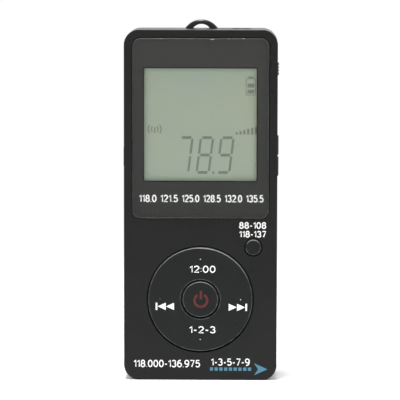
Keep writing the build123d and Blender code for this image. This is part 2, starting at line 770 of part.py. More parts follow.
def make_lock():
    face_x = body_width / 2 + side_key_proud
    inner_x = inner_half_width - side_flange_gap
    half = side_key_thickness / 2
    with BuildPart() as lock_knob:
        block(inner_x - side_flange, face_x, side_key_depth - half, side_key_depth + half,
              lock_centre_z - lock_length / 2, lock_centre_z + lock_length / 2)
        fillet(lock_knob.faces().sort_by(Axis.X)[-1].edges(), side_key_radius)
        for index in range(lock_groove_count):
            z = lock_centre_z + (index - (lock_groove_count - 1) / 2) * lock_groove_pitch
            block(face_x - lock_groove, face_x + 1, side_key_depth - half - 1,
                  side_key_depth + half + 1, z - lock_groove_width / 2,
                  z + lock_groove_width / 2, mode=Mode.SUBTRACT)
        # inner plate wider than the window, so the knob can't fall out
        block(inner_x - side_flange, inner_x, side_key_depth - half - flange_front_lip,
              side_key_depth + half + flange_back_lip,
              lock_centre_z - lock_length / 2, lock_centre_z + lock_length / 2)
    save(lock_knob, "lock_knob")

    with BuildPart() as lock_stem:
        block(switch_mouth_x - plunger_reach, inner_x - side_flange, 
              side_key_depth - lock_stem_thickness / 2, side_key_depth + lock_stem_thickness / 2,
              lock_centre_z - lock_stem_width / 2, lock_centre_z + lock_stem_width / 2)
    save(lock_stem, "lock_stem")

    switch_z = lock_centre_z + lock_travel / 2
    with BuildPart() as lock_switch:
        block(switch_mouth_x - switch_width, switch_mouth_x, board_back,
              board_back + switch_height, switch_z - lock_switch_length / 2,
              switch_z + lock_switch_length / 2)
        slot_half = lock_travel / 2 + lock_stem_width / 2 + lock_slot_gap
        slot_thickness = lock_stem_thickness + 2 * lock_slot_side_gap
        block(switch_mouth_x - lock_slot_depth, switch_mouth_x + 1,
              side_key_depth - slot_thickness / 2, side_key_depth + slot_thickness / 2,
              switch_z - slot_half, switch_z + slot_half, mode=Mode.SUBTRACT)
    save(lock_switch, "lock_switch")


# ---- batteries and their contacts -----------------------------------------------------
def make_batteries():
    left_base = bay_bottom_z + contact_strip + spring_length
    right_base = bay_bottom_z + contact_strip + contact_dimple
    cell_y = front_y + cell_depth
    with BuildPart() as battery_cells:
        for x, base, up in ((-cell_pitch / 2, left_base, 1), (cell_pitch / 2, right_base, -1)):
            can_base = base if up > 0 else base + cap_height
            can = cell_length - cap_height
            with BuildSketch(Plane.XY.offset(can_base)) as round_can:
                with Locations((x, cell_y)):
                    Circle(cell_diameter / 2)
            extrude(round_can.sketch, amount=can)
            cap_base = base + can if up > 0 else base
            with BuildSketch(Plane.XY.offset(cap_base)) as cap:
                with Locations((x, cell_y)):
                    Circle(cap_radius)
            extrude(cap.sketch, amount=cap_height)
        rims = battery_cells.edges().filter_by(GeomType.CIRCLE)
        rims = rims.filter_by(lambda rim: rim.radius > cell_diameter / 2 - 0.01)
        fillet(rims, cell_rim_radius)
    save(battery_cells, "battery_cells")

    half = contact_width / 2
    strip_front = cell_depth - half
    strip_back = cell_depth + half
    low = bay_bottom_z
    high = bay_top_z
    with BuildPart() as bridge_contact:
        block(-cell_pitch / 2 - half, cell_pitch / 2 + half, strip_front, strip_back,
              low, low + contact_strip)
        with BuildSketch(Plane.XY.offset(low + contact_strip)) as dimple:
            with Locations((cell_pitch / 2, cell_y)):
                Circle(contact_dimple_radius)
        extrude(dimple.sketch, amount=contact_dimple)
    save(bridge_contact, "bridge_contact")

    with BuildPart() as positive_contact:
        block(-cell_pitch / 2 - half, -cell_pitch / 2 + half, strip_front, strip_back,
              high - contact_strip, high)
        with BuildSketch(Plane.XY.offset(high - contact_strip)) as dimple:
            with Locations((-cell_pitch / 2, cell_y)):
                Circle(contact_dimple_radius)
        extrude(dimple.sketch, amount=-contact_dimple)
    save(positive_contact, "positive_contact")

    with BuildPart() as negative_contact:
        block(cell_pitch / 2 - half, cell_pitch / 2 + half, strip_front, strip_back,
              high - contact_strip, high)
    save(negative_contact, "negative_contact")

    # two coil springs, wide foot on the strip and narrow end on the cell
    rise = spring_length - 2 * spring_wire
    with BuildPart() as contact_springs:
        for x, foot_z, up in ((-cell_pitch / 2, low + contact_strip + spring_wire, 1),
                              (cell_pitch / 2, high - contact_strip - spring_wire, -1)):
            with BuildLine(Plane(origin=(x, cell_y, foot_z))) as coil:
                Helix(rise / spring_turns, rise, spring_foot_radius, direction=(0, 0, up),
                      cone_angle=-spring_taper)
            start = coil.wires()[0]
            with BuildSketch(Plane(origin=start @ 0, z_dir=start % 0)) as wire:
                Circle(spring_wire)
            sweep(wire.sketch, path=start)
    save(contact_springs, "contact_springs")


# ---- screws ---------------------------------------------------------------------------
def cross_recess(depth, reach, points):
    with BuildSketch(at_depth(depth)) as cross:
        with Locations(*points):
            Rectangle(cross_width, reach)
            Rectangle(reach, cross_width)
    extrude(cross.sketch, amount=cross_depth, mode=Mode.SUBTRACT)


def make_screws():
    with BuildPart() as case_screws:
        pegs(screw_tip_depth, screw_seat_depth, screw_radius - screw_fit, case_screw_points)
        pegs(screw_seat_depth, screw_seat_depth + screw_head_height, screw_head_radius,
             case_screw_points)
        fillet(edges_at(case_screws, screw_seat_depth + screw_head_height), screw_head_edge)
        chamfer(edges_at(case_screws, screw_tip_depth), screw_tip_chamfer)
        cross_recess(screw_seat_depth + screw_head_height, screw_cross, case_screw_points)
    save(case_screws, "case_screws")

    with BuildPart() as board_screws:
        pegs(front_wall + board_boss_floor + screw_tip_room, board_back,
             board_screw_radius - screw_fit, board_screw_points)
        head_back = board_back + board_screw_head_height
        pegs(board_back, head_back, board_screw_head_radius, board_screw_points)
        fillet(edges_at(board_screws, head_back), board_screw_head_edge)
        cross_recess(head_back, board_screw_cross, board_screw_points)
    save(board_screws, "board_screws")


make_front_case()
make_rear_case()
make_battery_door()
make_display()
make_board()
make_socket()
make_aerial()
make_ring()
make_round_keys()
make_side_keys()
make_lock()
make_batteries()
make_screws()
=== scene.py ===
import bpy
from math import cos, pi, radians, sin
from mathutils import Matrix, Vector


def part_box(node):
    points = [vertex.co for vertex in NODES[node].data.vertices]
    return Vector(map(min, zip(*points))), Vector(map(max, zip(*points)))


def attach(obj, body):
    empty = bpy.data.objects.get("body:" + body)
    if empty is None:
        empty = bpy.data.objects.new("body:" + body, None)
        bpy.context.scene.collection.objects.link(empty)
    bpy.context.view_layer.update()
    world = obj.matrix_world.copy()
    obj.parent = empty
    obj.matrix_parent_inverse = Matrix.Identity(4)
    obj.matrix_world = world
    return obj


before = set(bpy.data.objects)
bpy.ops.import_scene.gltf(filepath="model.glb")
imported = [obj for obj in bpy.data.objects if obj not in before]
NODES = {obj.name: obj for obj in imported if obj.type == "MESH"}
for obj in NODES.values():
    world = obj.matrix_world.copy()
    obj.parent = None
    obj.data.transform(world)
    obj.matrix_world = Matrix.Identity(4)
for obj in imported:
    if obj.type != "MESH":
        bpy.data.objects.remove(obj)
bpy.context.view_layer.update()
MM = 0.001

# ---- camera: where the photograph was taken from --------------------------------------
CAMERA_AZIMUTH = 1.12          # degrees to the right of straight ahead
CAMERA_ELEVATION = 5.70
CAMERA_DISTANCE = 0.797
CAMERA_ROLL = 0.106
CAMERA_LENS = 247.5            # mm
CAMERA_SENSOR = 36.0           # mm wide
CAMERA_NEAR = 0.01             # nothing nearer than this is drawn
CAMERA_TARGET = Vector((-0.32, 0, 51.27)) * MM

# ---- light and floor ------------------------------------------------------------------
WORLD_STRENGTH = 1.09
LIGHT_TARGET = Vector((0, 0, 0.05))
FLOOR_SIZE = 16.0
FLOOR_COLOUR = (0.93, 0.93, 0.925)

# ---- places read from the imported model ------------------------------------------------
LENS_LOW, LENS_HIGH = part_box("display_lens")
RING_LOW, RING_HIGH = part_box("nav_ring")
CASE_LOW, CASE_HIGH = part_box("front_case")
CELLS_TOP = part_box("battery_cells")[1].z
POLARISER_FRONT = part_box("front_polariser")[0].y
POWER_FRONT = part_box("power_button")[0].y
CASE_FRONT = CASE_LOW.y
RING_X = (RING_LOW.x + RING_HIGH.x) / 2
RING_Z = (RING_LOW.z + RING_HIGH.z) / 2
PRINT_LIFT = 0.006 * MM        # a print starts this far in front of its surface
PRINT_THICKNESS = 0.012 * MM


# ---- node helpers ---------------------------------------------------------------------
def new_material(name):
    material = bpy.data.materials.new(name)
    material.use_nodes = True
    tree = material.node_tree
    tree.nodes.clear()
    output = tree.nodes.new("ShaderNodeOutputMaterial")
    return material, tree, output


def add_node(tree, kind, inputs=None, **settings):
    node = tree.nodes.new(kind)
    for key, value in settings.items():
        setattr(node, key, value)
    for key, value in (inputs or {}).items():
        node.inputs[key].default_value = value
    return node


def new_shaded_material(name, **settings):
    """A material with one Principled shader, whose inputs are named with _ for a space."""
    material, tree, output = new_material(name)
    inputs = {key.replace("_", " "): value for key, value in settings.items()}
    shader = add_node(tree, "ShaderNodeBsdfPrincipled", inputs)
    tree.links.new(shader.outputs["BSDF"], output.inputs["Surface"])
    return material, tree, shader


def noise(tree, scale, detail=3.0, rough=0.55, stretch=None):
    """Noise in the object's own metres: one feature is about 1 / scale metres wide."""
    place = add_node(tree, "ShaderNodeTexCoord")
    mapping = add_node(tree, "ShaderNodeMapping")
    tree.links.new(place.outputs["Object"], mapping.inputs["Vector"])
    if stretch:
        mapping.inputs["Scale"].default_value = stretch
    pattern = add_node(tree, "ShaderNodeTexNoise",
                       {"Scale": scale, "Detail": detail, "Roughness": rough})
    tree.links.new(mapping.outputs["Vector"], pattern.inputs["Vector"])
    return pattern.outputs["Fac"]


def remap(tree, value, low, high, from_low=0.3, from_high=0.7):
    """Turns values between from_low and from_high into ones between low and high."""
    node = add_node(tree, "ShaderNodeMapRange", {"From Min": from_low, "From Max": from_high,
                                                 "To Min": low, "To Max": high})
    tree.links.new(value, node.inputs["Value"])
    return node.outputs["Result"]


def mix_colour(tree, factor, first, second):
    node = add_node(tree, "ShaderNodeMix", data_type="RGBA")
    tree.links.new(factor, node.inputs["Factor"])
    for socket, colour in ((node.inputs["A"], first), (node.inputs["B"], second)):
        if isinstance(colour, tuple):
            socket.default_value = (*colour, 1.0)
        else:
            tree.links.new(colour, socket)
    return node.outputs["Result"]


def multiply(tree, first, second):
    node = add_node(tree, "ShaderNodeMath", operation="MULTIPLY")
    tree.links.new(first, node.inputs[0])
    tree.links.new(second, node.inputs[1])
    return node.outputs[0]


def axis_of(tree, vector, axis):
    split = add_node(tree, "ShaderNodeSeparateXYZ")
    tree.links.new(vector, split.inputs["Vector"])
    return split.outputs[axis]


def front_facing(tree, normal):
    """One where a surface faces straight forwards or backwards, nought where sideways."""
    size = add_node(tree, "ShaderNodeMath", operation="ABSOLUTE")
    tree.links.new(axis_of(tree, normal, "Y"), size.inputs[0])
    return size.outputs[0]


def edge_mask(tree):
    """One on the roundings between a front or back face and its sides, nought on both."""
    place = add_node(tree, "ShaderNodeTexCoord")
    facing = front_facing(tree, place.outputs["Normal"])
    off_face = remap(tree, facing, 1.0, 0.0, from_low=0.94, from_high=0.995)
    off_side = remap(tree, facing, 0.0, 1.0, from_low=0.45, from_high=0.75)
    return multiply(tree, off_face, off_side)


def upper_edges(tree, low, high):
    """The part of the edges that faces up, from nought at height low to one at high."""
    place = add_node(tree, "ShaderNodeTexCoord")
    upward = axis_of(tree, place.outputs["Normal"], "Z")
    height = axis_of(tree, place.outputs["Object"], "Z")
    upper = multiply(tree, remap(tree, upward, 0.0, 1.0, from_low=0.2, from_high=0.9),
                     remap(tree, height, 0.0, 1.0, from_low=low, from_high=high))
    return multiply(tree, edge_mask(tree), upper)


def bump(tree, height, distance):
    node = add_node(tree, "ShaderNodeBump", {"Strength": 1.0, "Distance": distance})
    tree.links.new(height, node.inputs["Height"])
    return node.outputs["Normal"]


def dress(tree, shader, colour, gloss, normal):
    """Gives a Principled shader its colour, roughness and bumpy surface."""
    tree.links.new(colour, shader.inputs["Base Color"])
    tree.links.new(gloss, shader.inputs["Roughness"])
    tree.links.new(normal, shader.inputs["Normal"])


# ---- materials ------------------------------------------------------------------------
DUST_COLOUR = (0.35, 0.34, 0.32)


def moulded_plastic(name, colour, rough, grain=0.11 * MM, depth=0.0016 * MM, spread=0.12,
                    edge_wear_and_highlight=0.25, specular=0.5, dust=0.0, edge_gain=0.012, painted_highlight=None):
    """Moulded plastic: spark-eroded grain, cloudy gloss and lighter edges, part wear and part
    painted highlight.

    The last argument paints a highlight: a paler colour on the edges that face up, with the
    heights where it starts and where it is full.
    """
    material, tree, shader = new_shaded_material(name, Specular_IOR_Level=specular)
    clouds = noise(tree, 90.0, detail=4.0)
    pale = tuple(min(1.0, c * (1 + spread) + 0.0006) for c in colour)
    deep = tuple(c * (1 - spread) for c in colour)
    base = mix_colour(tree, remap(tree, clouds, 0.0, 1.0), deep, pale)
    # Lighter rounded edges: part wear, part painted highlight.
    patches = remap(tree, noise(tree, 700.0), 0.0, edge_wear_and_highlight)
    wear_and_highlight_colour = tuple(min(1.0, c * 1.8 + edge_gain) for c in colour)
    base = mix_colour(tree, multiply(tree, edge_mask(tree), patches), base, wear_and_highlight_colour)
    # A paler colour on the edges that face up: a painted highlight.
    if painted_highlight is not None:
        painted_highlight_colour, low, high = painted_highlight
        base = mix_colour(tree, upper_edges(tree, low, high), base, painted_highlight_colour)
    if dust > 0:
        specks = remap(tree, noise(tree, 2600.0, detail=1.0), 0.0, dust,
                       from_low=0.70, from_high=0.78)
        base = mix_colour(tree, specks, base, DUST_COLOUR)
    gloss = remap(tree, clouds, rough - 0.035, rough + 0.045)
    fine = noise(tree, 1 / grain, detail=2.0, rough=0.6)
    dress(tree, shader, base, gloss, bump(tree, fine, depth))
    return material


def metal(name, colour, rough, brush=(1.0, 1.0, 1.0)):
    """Plated or drawn metal with dull patches; brush packs its fine lines closer on an axis."""
    material, tree, shader = new_shaded_material(name, Metallic=1.0)
    lines = noise(tree, 1500.0, rough=0.6, stretch=brush)
    dull = tuple(c * 0.85 for c in colour)
    patches = remap(tree, noise(tree, 400.0, detail=4.0), 0.0, 1.0)
    base = mix_colour(tree, patches, dull, colour)
    gloss = remap(tree, lines, rough * 0.7, rough * 1.4)
    dress(tree, shader, base, gloss, bump(tree, lines, 0.0012 * MM))
    return material


def printed_ink(name, colour, rough=0.55, specular=0.3):
    """Pad-printed ink: a little uneven in colour and gloss, with a soft orange peel."""
    material, tree, shader = new_shaded_material(name, Specular_IOR_Level=specular)
    blotches = noise(tree, 900.0)
    thin = tuple(c * 0.90 for c in colour)
    base = mix_colour(tree, remap(tree, blotches, 0.0, 1.0), thin, colour)
    gloss = remap(tree, blotches, rough - 0.08, rough + 0.08)
    dress(tree, shader, base, gloss, bump(tree, noise(tree, 6000.0, detail=2.0), 0.001 * MM))
    return material


def border_ink_and_reflection(name):
    """Dark grey ink behind the lens, a little paler towards the top as in the photograph; the
    paler top is a painted reflection.
    """
    # The paler top colour is a painted reflection.
    bottom, top = (0.0125, 0.0135, 0.0122), (0.0240, 0.0250, 0.0225)
    cloud_colour = (0.016, 0.016, 0.015)
    material, tree, shader = new_shaded_material(name, Specular_IOR_Level=0.3)
    place = add_node(tree, "ShaderNodeTexCoord")
    height = remap(tree, axis_of(tree, place.outputs["Object"], "Z"), 0.0, 1.0,
                   from_low=LENS_LOW.z, from_high=LENS_HIGH.z)
    clouds = noise(tree, 130.0, detail=4.0)
    base = mix_colour(tree, height, bottom, top)
    base = mix_colour(tree, remap(tree, clouds, 0.0, 0.25), base, cloud_colour)
    gloss = remap(tree, clouds, 0.45, 0.55)
    dress(tree, shader, base, gloss, bump(tree, noise(tree, 6000.0, detail=2.0), 0.001 * MM))
    return material


def clear_lens(name, edge_frost_and_highlight=0.0):
    """Hard-coated acrylic: a thin clear film that mirrors more at a slant."""
    material, tree, output = new_material(name)
    clear = add_node(tree, "ShaderNodeBsdfTransparent", {"Color": (0.985, 0.99, 0.985, 1.0)})
    gloss = add_node(tree, "ShaderNodeBsdfAnisotropic", {"Color": (0.30, 0.30, 0.29, 1.0)})
    smears = remap(tree, noise(tree, 160.0, detail=4.0), 0.03, 0.09)
    tree.links.new(smears, gloss.inputs["Roughness"])
    scratches = noise(tree, 5000.0, detail=2.0, rough=0.5, stretch=(0.05, 1.0, 1.0))
    tree.links.new(bump(tree, scratches, 0.0001 * MM), gloss.inputs["Normal"])
    slant = add_node(tree, "ShaderNodeLayerWeight", {"Blend": 0.5})
    power = add_node(tree, "ShaderNodeMath", {1: 5.0}, operation="POWER")
    tree.links.new(slant.outputs["Facing"], power.inputs[0])
    mirror = remap(tree, power.outputs[0], 0.04, 1.0, from_low=0.0, from_high=1.0)
    surface = mix_shaders(tree, mirror, clear, gloss)
    # Paler cut edges: part frosting, part painted highlight.
    if edge_frost_and_highlight > 0:
        surface = frosted_highlight_edges(tree, surface, edge_frost_and_highlight)
    tree.links.new(surface.outputs[0], output.inputs["Surface"])
    return material


def frosted_highlight_edges(tree, surface, amount):
    """Cut and rounded edges get a pale diffuse layer: part frosting, part painted highlight."""
    geometry = add_node(tree, "ShaderNodeNewGeometry")
    facing = front_facing(tree, geometry.outputs["Normal"])
    turned = remap(tree, facing, amount, 0.0, from_low=0.35, from_high=0.97)
    frost = add_node(tree, "ShaderNodeBsdfDiffuse", {"Color": (0.30, 0.31, 0.29, 1.0)})
    return mix_shaders(tree, turned, surface, frost)


def mix_shaders(tree, factor, first, second):
    blend = add_node(tree, "ShaderNodeMixShader")
    tree.links.new(factor, blend.inputs["Fac"])
    tree.links.new(first.outputs[0], blend.inputs[1])
    tree.links.new(second.outputs[0], blend.inputs[2])
    return blend


def display_face(name):
    """Grey-green reflective display: soft cloudiness and a fine, darker grain."""
    olive, blue, dark = (0.335, 0.383, 0.292), (0.322, 0.380, 0.312), (0.24, 0.27, 0.22)
    material, tree, shader = new_shaded_material(name, Specular_IOR_Level=0.35)
    clouds = noise(tree, 55.0)
    tint = remap(tree, clouds, 0.0, 1.0, from_low=0.35, from_high=0.65)
    grain = remap(tree, noise(tree, 14000.0, detail=1.0), 0.0, 0.10)
    base = mix_colour(tree, grain, mix_colour(tree, tint, olive, blue), dark)
    gloss = remap(tree, clouds, 0.34, 0.42)
    dress(tree, shader, base, gloss, bump(tree, noise(tree, 9000.0, detail=2.0), 0.0008 * MM))
    return material


def circuit_green(name):
    """Solder mask over copper: a pattern of raised, paler tracks under a cloudy green."""
    deep, pale, track = (0.010, 0.070, 0.030), (0.014, 0.100, 0.042), (0.030, 0.170, 0.070)
    material, tree, shader = new_shaded_material(name, Specular_IOR_Level=0.5)
    place = add_node(tree, "ShaderNodeTexCoord")
    turned = add_node(tree, "ShaderNodeMapping", {"Rotation": (pi / 2, 0, 0)})
    tree.links.new(place.outputs["Object"], turned.inputs["Vector"])
    bricks = add_node(tree, "ShaderNodeTexBrick",
                      {"Scale": 300.0, "Mortar Size": 0.045, "Mortar Smooth": 0.2})
    tree.links.new(turned.outputs["Vector"], bricks.inputs["Vector"])
    tracks = bricks.outputs["Fac"]
    clouds = noise(tree, 120.0)
    mask = mix_colour(tree, remap(tree, clouds, 0.0, 1.0), deep, pale)
    base = mix_colour(tree, tracks, mask, track)
    dress(tree, shader, base, remap(tree, clouds, 0.24, 0.36), bump(tree, tracks, 0.02 * MM))
    return material


def wound_wire(name):
    """Enamelled copper wire wound round a rod that lies along X."""
    groove, crest = (0.16, 0.045, 0.015), (0.62, 0.24, 0.09)
    material, tree, shader = new_shaded_material(name, Metallic=0.85, Coat_Weight=0.6,
                                                 Coat_Roughness=0.15)
    place = add_node(tree, "ShaderNodeTexCoord")
    wave = add_node(tree, "ShaderNodeTexWave", {"Scale": 1100.0, "Distortion": 0.4,
                                                "Detail": 1.0}, bands_direction="X")
    tree.links.new(place.outputs["Object"], wave.inputs["Vector"])
    turns = wave.outputs["Fac"]
    gloss = remap(tree, noise(tree, 800.0), 0.22, 0.38)
    dress(tree, shader, mix_colour(tree, turns, groove, crest), gloss,
          bump(tree, turns, 0.08 * MM))
    return material


def battery_jacket(name):
    """Metallic printed foil: plain blue, with a pale band round the upper end."""
    deep, pale, band_colour = (0.030, 0.075, 0.130), (0.040, 0.092, 0.155), (0.55, 0.53, 0.48)
    band_start, band_full = CELLS_TOP - 12.2 * MM, CELLS_TOP - 12.0 * MM
    material, tree, shader = new_shaded_material(name, Metallic=0.55)
    place = add_node(tree, "ShaderNodeTexCoord")
    band = remap(tree, axis_of(tree, place.outputs["Object"], "Z"), 0.0, 1.0,
                 from_low=band_start, from_high=band_full)
    clouds = noise(tree, 200.0)
    foil = mix_colour(tree, remap(tree, clouds, 0.0, 1.0), deep, pale)
    base = mix_colour(tree, band, foil, band_colour)
    gloss = remap(tree, clouds, 0.22, 0.34)
    dress(tree, shader, base, gloss, bump(tree, noise(tree, 2500.0), 0.001 * MM))
    return material


def floor_paper(name):
    material, tree, shader = new_shaded_material(name, Roughness=1.0, Specular_IOR_Level=0.0)
    darker = tuple(c * 0.985 for c in FLOOR_COLOUR)
    base = mix_colour(tree, remap(tree, noise(tree, 3.0), 0.0, 1.0), darker, FLOOR_COLOUR)
    tree.links.new(base, shader.inputs["Base Color"])
    return material


CASE = moulded_plastic("case_plastic", (0.0078, 0.0086, 0.0081), 0.30,
                       specular=0.17, edge_wear_and_highlight=0.3, edge_gain=0.01)
REAR = moulded_plastic("rear_plastic", (0.0098, 0.0104, 0.0098), 0.36, grain=0.20 * MM,
                       depth=0.005 * MM, specular=0.27)
# The rubbed edges stand in for the highlights on the keys in the photograph.
# The keys' lighter rounded edges are part wear, part painted highlight.
KEYS = moulded_plastic("key_plastic", (0.0076, 0.0084, 0.0088), 0.30, specular=0.17,
                       edge_wear_and_highlight=1.0, edge_gain=0.08,
                       painted_highlight=((0.40, 0.40, 0.38), RING_Z - 2 * MM, RING_Z + 6 * MM))
BORDER = border_ink_and_reflection("lens_border_ink")
WHITE = printed_ink("white_ink", (0.93, 0.93, 0.92))
RED = printed_ink("red_ink", (0.097, 0.014, 0.011))
BLUE = printed_ink("blue_ink", (0.068, 0.210, 0.310))
GREY = printed_ink("grey_ink", (0.10, 0.10, 0.10))
# Also used for the painted shade in the gap round the lens.
BLACK = printed_ink("black_ink_and_shade", (0.0022, 0.0022, 0.0022), rough=0.7, specular=0.05)
DISPLAY = display_face("display_grey_green")
SEGMENT = printed_ink("display_segment", (0.165, 0.195, 0.160), rough=0.4)
LENS = clear_lens("acrylic_lens", edge_frost_and_highlight=0.5)
THIN_GLASS = clear_lens("display_glass")
MILKY = moulded_plastic("milky_acrylic", (0.70, 0.72, 0.68), 0.30, spread=0.03, edge_wear_and_highlight=0.0)
WHITE_PLASTIC = moulded_plastic("white_plastic", (0.62, 0.62, 0.58), 0.45, spread=0.04,
                                edge_wear_and_highlight=0.05)
SILICONE = moulded_plastic("grey_silicone", (0.30, 0.31, 0.30), 0.62, spread=0.06, edge_wear_and_highlight=0.0,
                           dust=0.25)
CARBON = moulded_plastic("carbon_rubber", (0.010, 0.010, 0.010), 0.60, edge_wear_and_highlight=0.0)
FOAM = moulded_plastic("black_foam", (0.012, 0.012, 0.012), 0.85, grain=0.18 * MM,
                       depth=0.02 * MM, edge_wear_and_highlight=0.0)
BOARD = circuit_green("solder_mask")
GOLD = metal("gold_plate", (0.85, 0.60, 0.24), 0.28)
EPOXY = moulded_plastic("chip_epoxy", (0.018, 0.018, 0.019), 0.55, grain=0.06 * MM)
NYLON = moulded_plastic("black_nylon", (0.012, 0.012, 0.012), 0.42)
NICKEL = metal("nickel_plate", (0.66, 0.65, 0.62), 0.22)
STEEL = metal("zinc_steel", (0.50, 0.51, 0.53), 0.30, brush=(1.0, 6.0, 1.0))
FERRITE = moulded_plastic("ferrite", (0.030, 0.028, 0.027), 0.50, grain=0.15 * MM,
                          depth=0.01 * MM)
COPPER = wound_wire("coil_copper")
JACKET = battery_jacket("cell_jacket")

NODE_MATERIALS = {
    CASE: ["front_case"],
    REAR: ["rear_case", "battery_door"],
    KEYS: ["nav_ring", "power_button", "band_button", "volume_up_key", "volume_down_key",
           "light_key", "lock_knob"],
    LENS: ["display_lens"],
    DISPLAY: ["front_polariser", "rear_polariser"],
    THIN_GLASS: ["front_glass", "rear_glass"],
    MILKY: ["light_guide", "backlight_lamp"],
    WHITE_PLASTIC: ["display_holder", "rod_saddles"],
    SILICONE: ["key_mat", "side_posts", "upright_posts", "power_post", "band_post",
               "contact_rubber"],
    CARBON: ["side_pills", "upright_pills", "power_pill", "band_pill"],
    FOAM: ["lens_tape", "dust_gasket"],
    BOARD: ["main_board"],
    GOLD: ["copper_pads"],
    EPOXY: ["tuner_chip", "control_chip", "audio_chip", "power_coil"],
    NYLON: ["earphone_socket", "key_switches", "lock_switch", "volume_up_plunger",
            "volume_down_plunger", "light_plunger", "lock_stem", "socket_collar"],
    NICKEL: ["crystal", "capacitors", "bridge_contact", "positive_contact",
             "negative_contact", "contact_springs"],
    STEEL: ["case_screws", "board_screws"],
    FERRITE: ["ferrite_rod"],
    COPPER: ["aerial_coil"],
    JACKET: ["battery_cells"],
}
for node_material, names in NODE_MATERIALS.items():
    for node_name in names:
        slots = NODES[node_name].data.materials
        slots.clear()
        slots.append(node_material)


# ---- outlines in a flat plane, in mm --------------------------------------------------
def oval(x, z, half_width, half_height, start, end, steps=20):
    """Points round an oval, from one angle to another in degrees."""
    turns = [radians(start + (end - start) * i / steps) for i in range(steps + 1)]
    return [(x + half_width * cos(turn), z + half_height * sin(turn)) for turn in turns]


def arc(centre, radius, start, end, steps=24):
    return oval(*centre, radius, radius, start, end, steps)


def circle(centre, radius, steps=32):
    return arc(centre, radius, 0, 360, steps)[:-1]


def rectangle(centre, width, height, radius=0.0):
    x, z = centre
    w, h = width / 2, height / 2
    if radius <= 0:
        return [(x - w, z - h), (x + w, z - h), (x + w, z + h), (x - w, z + h)]
    corners = ((1, 1, 0), (-1, 1, 90), (-1, -1, 180), (1, -1, 270))
    points = []
    for side, rise, turn in corners:
        middle = (x + side * (w - radius), z + rise * (h - radius))
        points += arc(middle, radius, turn, turn + 90, 8)
    return points


def bar(start, end, width):
    """A straight stroke with square ends."""
    along = Vector((end[0] - start[0], end[1] - start[1])).normalized()
    across = Vector((-along.y, along.x)) * width / 2
    ends = (Vector(start), Vector(end))
    return [tuple(ends[0] - across), tuple(ends[1] - across), tuple(ends[1] + across),
            tuple(ends[0] + across)]


def bow(centre, radius, start, end, width, steps=20):
    """A curved stroke: part of a ring."""
    outer = arc(centre, radius + width / 2, start, end, steps)
    inner = arc(centre, radius - width / 2, end, start, steps)
    return outer + inner


def triangle(tip, back, height):
    """An arrow head that points along X, back being the place of its upright edge."""
    return [tip, (back, tip[1] + height / 2), (back, tip[1] - height / 2)]


def plus(centre, size, width):
    x, z = centre
    s, w = size / 2, width / 2
    return [(x - s, z - w), (x - w, z - w), (x - w, z - s), (x + w, z - s), (x + w, z - w),
            (x + s, z - w), (x + s, z + w), (x + w, z + w), (x + w, z + s), (x - w, z + s),
            (x - w, z + w), (x - s, z + w)]


# ---- pieces made from outlines --------------------------------------------------------
# FACING turns a flat plane the way a face looks.  A face is where flat pieces lie: a point
# on it, the way it looks, its body and its slot.
FACING = {
    "front": Matrix.Rotation(pi / 2, 4, "X"),
    "right": Matrix.Rotation(pi / 2, 4, "Z") @ Matrix.Rotation(pi / 2, 4, "X"),
    "left": Matrix.Rotation(-pi / 2, 4, "Z") @ Matrix.Rotation(pi / 2, 4, "X"),
    "top": Matrix.Identity(4),
}


def front_face(y, body, slot):
    return Vector((0, y, 0)), "front", body, slot


def to_mesh(name, curve, place):
    """Turns a curve into a mesh that lies in place, and drops the curve."""
    holder = bpy.data.objects.new(name + "_curve", curve)
    bpy.context.scene.collection.objects.link(holder)
    bpy.context.view_layer.update()
    graph = bpy.context.evaluated_depsgraph_get()
    mesh = bpy.data.meshes.new_from_object(holder.evaluated_get(graph))
    bpy.data.objects.remove(holder)
    bpy.data.curves.remove(curve)
    mesh.transform(place)
    return mesh


def finish_piece(name, mesh, body, material):
    mesh.name = name
    mesh.materials.clear()
    mesh.materials.append(material)
    piece = bpy.data.objects.new(name, mesh)
    bpy.context.scene.collection.objects.link(piece)
    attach(piece, body)


def flat_piece(name, outlines, face, material, thickness=PRINT_THICKNESS):
    """A thin plate from closed outlines in mm, an outline inside another being a hole."""
    origin, facing, body, slot = face
    curve = bpy.data.curves.new(name, "CURVE")
    curve.dimensions = "2D"
    curve.fill_mode = "BOTH"
    curve.extrude = thickness / 2
    for outline in outlines:
        spline = curve.splines.new("POLY")
        spline.points.add(len(outline) - 1)
        for point, (x, z) in zip(spline.points, outline):
            point.co = (x * MM, z * MM, thickness / 2, 1.0)
        spline.use_cyclic_u = True
    place = Matrix.Translation(origin) @ FACING[facing]
    finish_piece(name, to_mesh(name, curve, place), body, material)


